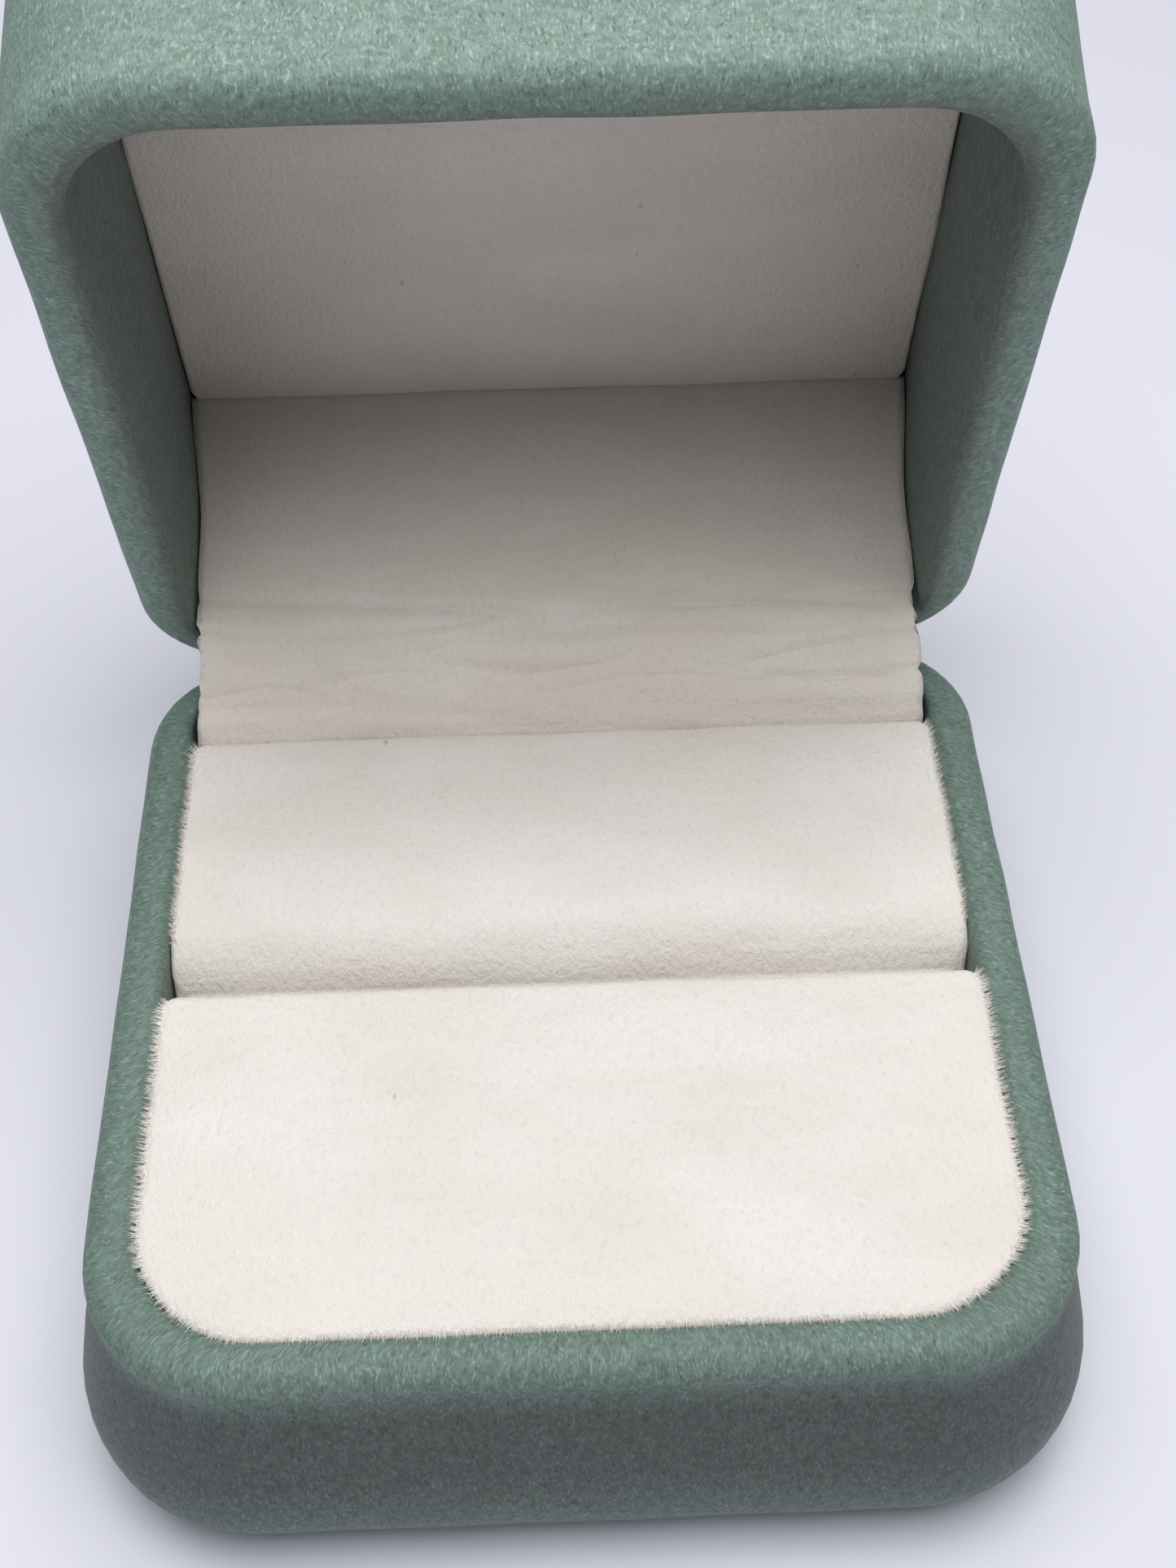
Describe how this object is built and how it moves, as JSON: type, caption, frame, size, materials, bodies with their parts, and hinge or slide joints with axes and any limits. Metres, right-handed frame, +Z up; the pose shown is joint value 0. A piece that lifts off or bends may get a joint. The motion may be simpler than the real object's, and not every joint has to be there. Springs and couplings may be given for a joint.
{
  "type": "ring box",
  "caption": "Hinged ring box standing open, wrapped in leatherette, with a velvet pad slotted to grip a ring and a padded lid.",
  "frame": {"origin": "centre of the base's underside", "axes": "+Z up, the hinge at the back (+Y), the front at -Y, +X to the right seen from the front"},
  "size_m": [0.0642, 0.0841, 0.0828],
  "materials": {
    "leatherette": "matt, short nap",
    "ivory_velvet": "short velvet pile",
    "moulding": "matt",
    "grey_board": "uncoated greyboard",
    "sponge": "open foam",
    "steel": "plated",
    "felt_paper": "matt felt paper"
  },
  "bodies": {
    "base": {"base_wrap": "leatherette", "base_shell": "moulding", "bottom_cover": "felt_paper", "bottom_card": "grey_board", "insert_card": "grey_board", "front_velvet": "ivory_velvet", "front_foam": "sponge", "rear_velvet": "ivory_velvet", "rear_foam": "sponge", "hinge_leaf_base": "steel", "hinge_pin": "steel", "base_rivet_left": "steel", "base_rivet_right": "steel", "snap_spring_left": "steel", "snap_spring_right": "steel", "hinge_lining": "ivory_velvet"},
    "lid": {"lid_wrap": "leatherette", "lid_shell": "moulding", "lid_panel_velvet": "ivory_velvet", "lid_panel_wadding": "sponge", "lid_panel_card": "grey_board", "lid_back_card": "grey_board", "hinge_leaf_lid": "steel", "lid_rivet_left": "steel", "lid_rivet_right": "steel"}
  },
  "joints": [
    {"name": "lid_hinge", "type": "hinge", "parent": "base", "child": "lid", "pos_m": [0, 0.02845, 0.02115], "axis": [1, 0, 0], "range_deg": [0, 75], "deforming": ["hinge_lining"]}
  ]
}
